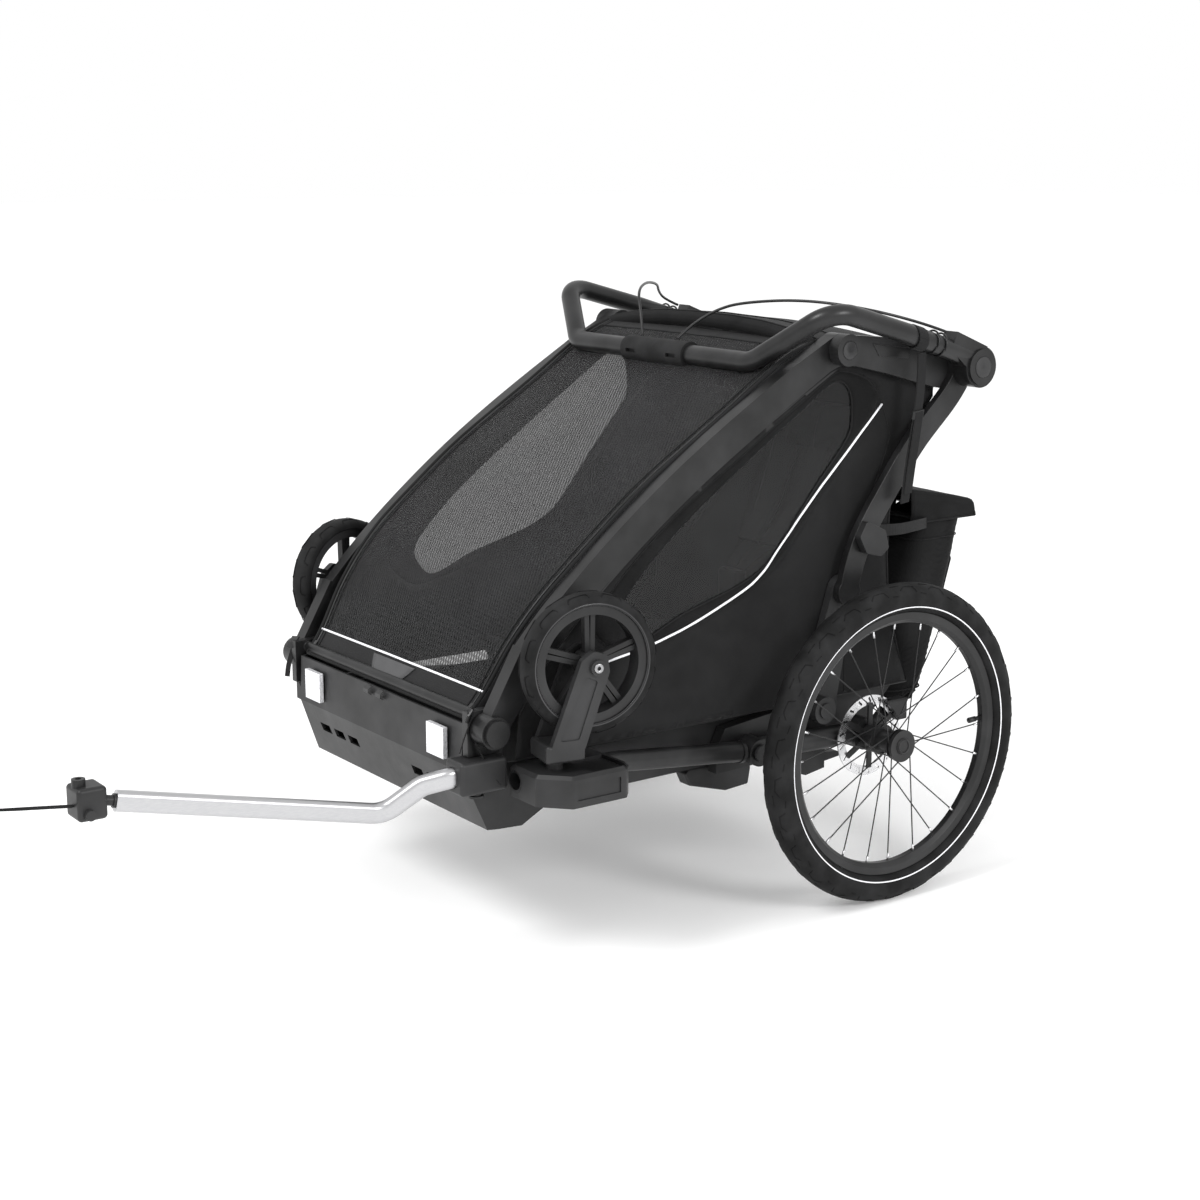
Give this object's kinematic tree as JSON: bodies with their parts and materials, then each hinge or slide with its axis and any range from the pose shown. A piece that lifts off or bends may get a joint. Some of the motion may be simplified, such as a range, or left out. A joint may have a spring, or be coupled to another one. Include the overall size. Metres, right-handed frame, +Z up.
{
  "type": "child bicycle trailer",
  "caption": "Folding fabric-covered child bicycle trailer with large spoked wheels, stowed stroller wheels, a swung-over handlebar, a rear bag and a side hitch arm.",
  "frame": {"origin": "centre of the object's footprint, on the floor under the two main tyres", "axes": "+Z up, the front and the hitch arm point along -Y, the trailer's left side is +X"},
  "size_m": [0.8048, 1.6819, 0.93],
  "materials": {
    "frame_black": "satin",
    "moulded_black": "matte",
    "arm_black": "satin black",
    "spoke_black": "black",
    "bright_steel": "brushed",
    "silver_alloy": "anodised",
    "tyre_rubber": "matte",
    "foam_grip": "matte",
    "shell_fabric": "woven",
    "mesh_fabric": "open mesh",
    "window_film": "tinted",
    "seat_fabric": "padded",
    "webbing": "woven webbing",
    "buckle_plastic": "gloss",
    "cable_black": "satin",
    "reflector_lens": "prismatic"
  },
  "bodies": {
    "chassis": {"side_tubes": "frame_black", "strut_brackets": "moulded_black", "support_feet": "moulded_black", "axle_beam": "silver_alloy", "tub": "moulded_black", "bumper_frame": "frame_black", "wheel_socket_left": "moulded_black", "wheel_socket_right": "moulded_black", "front_reflectors": "reflector_lens", "side_panel_left": "shell_fabric", "side_panel_right": "shell_fabric", "side_windows": "window_film", "rear_panel": "shell_fabric", "seat": "seat_fabric", "harness_straps": "webbing", "harness_buckles": "buckle_plastic", "cargo_bag": "shell_fabric", "hitch_socket": "moulded_black"},
    "front_frame": {"front_frame": "frame_black", "front_cover": "mesh_fabric"},
    "top_frame": {"top_frame": "moulded_black", "roof": "shell_fabric"},
    "rear_struts": {"rear_struts": "frame_black"},
    "fold_latches": {"fold_latches": "moulded_black"},
    "handlebar": {"handlebar": "frame_black", "brake_cables": "cable_black", "wrist_strap": "webbing"},
    "brake_sleeve": {"brake_sleeve": "foam_grip"},
    "bag_lid": {"bag_lid": "shell_fabric"},
    "brake_pedal": {"brake_pedal": "moulded_black"},
    "hitch_arm": {"hitch_arm": "silver_alloy"},
    "hitch_release": {"hitch_release": "moulded_black"},
    "coupler_neck": {"coupler_neck": "moulded_black"},
    "coupler": {"coupler": "moulded_black", "safety_strap": "webbing"},
    "suspension_left": {"suspension_arm_left": "arm_black", "brake_caliper_left": "arm_black"},
    "wheel_left": {"tyre_left": "tyre_rubber", "rim_left": "arm_black", "spokes_left": "spoke_black", "hub_left": "arm_black", "rotor_left": "bright_steel"},
    "axle_button_left": {"axle_button_left": "moulded_black"},
    "stroller_stem_left": {"stroller_stem_left": "moulded_black"},
    "stroller_fork_left": {"stroller_fork_left": "moulded_black"},
    "stroller_wheel_left": {"stroller_rim_left": "moulded_black", "stroller_tyre_left": "tyre_rubber"},
    "suspension_right": {"suspension_arm_right": "arm_black", "brake_caliper_right": "arm_black"},
    "wheel_right": {"tyre_right": "tyre_rubber", "rim_right": "arm_black", "spokes_right": "spoke_black", "hub_right": "arm_black", "rotor_right": "bright_steel"},
    "axle_button_right": {"axle_button_right": "moulded_black"},
    "stroller_stem_right": {"stroller_stem_right": "moulded_black"},
    "stroller_fork_right": {"stroller_fork_right": "moulded_black"},
    "stroller_wheel_right": {"stroller_rim_right": "moulded_black", "stroller_tyre_right": "tyre_rubber"}
  },
  "joints": [
    {"name": "frame_fold", "type": "hinge", "parent": "chassis", "child": "front_frame", "pos_m": [0, -0.209, 0.357], "axis": [1, 0, 0], "range_deg": [-26, 0], "deforming": ["side_panel_left", "side_panel_right", "side_windows", "rear_panel", "seat", "harness_straps", "cargo_bag", "bag_lid", "front_cover"]},
    {"name": "top_frame_fold", "type": "hinge", "parent": "front_frame", "child": "top_frame", "pos_m": [0, 0.412, 0.847], "axis": [1, 0, 0], "range_deg": [0, 18]},
    {"name": "strut_fold", "type": "hinge", "parent": "top_frame", "child": "rear_struts", "pos_m": [0, 0.651, 0.811], "axis": [1, 0, 0], "range_deg": [-37, 0]},
    {"name": "fold_latch_turn", "type": "hinge", "parent": "rear_struts", "child": "fold_latches", "pos_m": [0, 0.445, 0.562], "axis": [1, 0, 0], "range_deg": [0, 14], "stiffness_Nm_per_rad": 3},
    {"name": "handlebar_turn", "type": "hinge", "parent": "rear_struts", "child": "handlebar", "pos_m": [0, 0.651, 0.811], "axis": [1, 0, 0], "range_deg": [-140, 0]},
    {"name": "parking_brake_twist", "type": "hinge", "parent": "handlebar", "child": "brake_sleeve", "pos_m": [0, 0.292, 0.829], "axis": [1, 0, 0], "range_deg": [0, 30]},
    {"name": "bag_lid_hinge", "type": "hinge", "parent": "chassis", "child": "bag_lid", "pos_m": [0, 0.62, 0.605], "axis": [1, 0, 0], "range_deg": [0, 80]},
    {"name": "brake_pedal_hinge", "type": "hinge", "parent": "chassis", "child": "brake_pedal", "pos_m": [0, 0.43, 0.186], "axis": [1, 0, 0], "range_deg": [-12, 0]},
    {"name": "hitch_arm_slide", "type": "slide", "parent": "chassis", "child": "hitch_arm", "axis": [-0.0374, -0.9986, -0.0374], "range_m": [0, 0.07]},
    {"name": "hitch_release_press", "type": "slide", "parent": "chassis", "child": "hitch_release", "axis": [0, 0, 1], "range_m": [0, 0.004], "stiffness_N_per_m": 600},
    {"name": "coupler_roll", "type": "hinge", "parent": "hitch_arm", "child": "coupler_neck", "pos_m": [0.165, -0.702, 0.32], "axis": [-0.1322, -0.9709, 0.1996], "range_deg": [-60, 60]},
    {"name": "coupler_yaw", "type": "hinge", "parent": "coupler_neck", "child": "coupler", "pos_m": [0.16051, -0.73501, 0.32679], "axis": [0, 0, 1], "range_deg": [-26, 26]},
    {"name": "suspension_left_swing", "type": "hinge", "parent": "chassis", "child": "suspension_left", "pos_m": [0.3, 0.246, 0.256], "axis": [1, 0, 0], "range_deg": [-3, 4], "stiffness_Nm_per_rad": 900},
    {"name": "wheel_left_spin", "type": "hinge", "parent": "suspension_left", "child": "wheel_left", "pos_m": [0.377, 0.458, 0.25], "axis": [1, 0, 0], "continuous": true},
    {"name": "axle_button_left_press", "type": "slide", "parent": "wheel_left", "child": "axle_button_left", "axis": [-1, 0, 0], "range_m": [0, 0.004], "stiffness_N_per_m": 600},
    {"name": "stroller_left_lift", "type": "slide", "parent": "chassis", "child": "stroller_stem_left", "axis": [0, 0, 1], "range_m": [0, 0.03]},
    {"name": "stroller_left_swivel", "type": "hinge", "parent": "stroller_stem_left", "child": "stroller_fork_left", "pos_m": [0.337, -0.141, 0.3], "axis": [0, 0, 1], "range_deg": [-4, 12]},
    {"name": "stroller_left_wheel_spin", "type": "hinge", "parent": "stroller_fork_left", "child": "stroller_wheel_left", "pos_m": [0.34673, -0.09094, 0.451], "axis": [0.9816, -0.1908, 0], "continuous": true},
    {"name": "suspension_right_swing", "type": "hinge", "parent": "chassis", "child": "suspension_right", "pos_m": [-0.3, 0.246, 0.256], "axis": [1, 0, 0], "range_deg": [-3, 4], "stiffness_Nm_per_rad": 900},
    {"name": "wheel_right_spin", "type": "hinge", "parent": "suspension_right", "child": "wheel_right", "pos_m": [-0.377, 0.458, 0.25], "axis": [1, 0, 0], "continuous": true},
    {"name": "axle_button_right_press", "type": "slide", "parent": "wheel_right", "child": "axle_button_right", "axis": [1, 0, 0], "range_m": [0, 0.004], "stiffness_N_per_m": 600},
    {"name": "stroller_right_lift", "type": "slide", "parent": "chassis", "child": "stroller_stem_right", "axis": [0, 0, 1], "range_m": [0, 0.03]},
    {"name": "stroller_right_swivel", "type": "hinge", "parent": "stroller_stem_right", "child": "stroller_fork_right", "pos_m": [-0.337, -0.141, 0.3], "axis": [0, 0, -1], "range_deg": [-4, 12]},
    {"name": "stroller_right_wheel_spin", "type": "hinge", "parent": "stroller_fork_right", "child": "stroller_wheel_right", "pos_m": [-0.34673, -0.09094, 0.451], "axis": [-0.9816, -0.1908, 0], "continuous": true}
  ],
  "couplings": [
    {"joint": "top_frame_fold", "follows": "frame_fold", "ratio": -0.6923},
    {"joint": "strut_fold", "follows": "frame_fold", "ratio": 1.423}
  ]
}
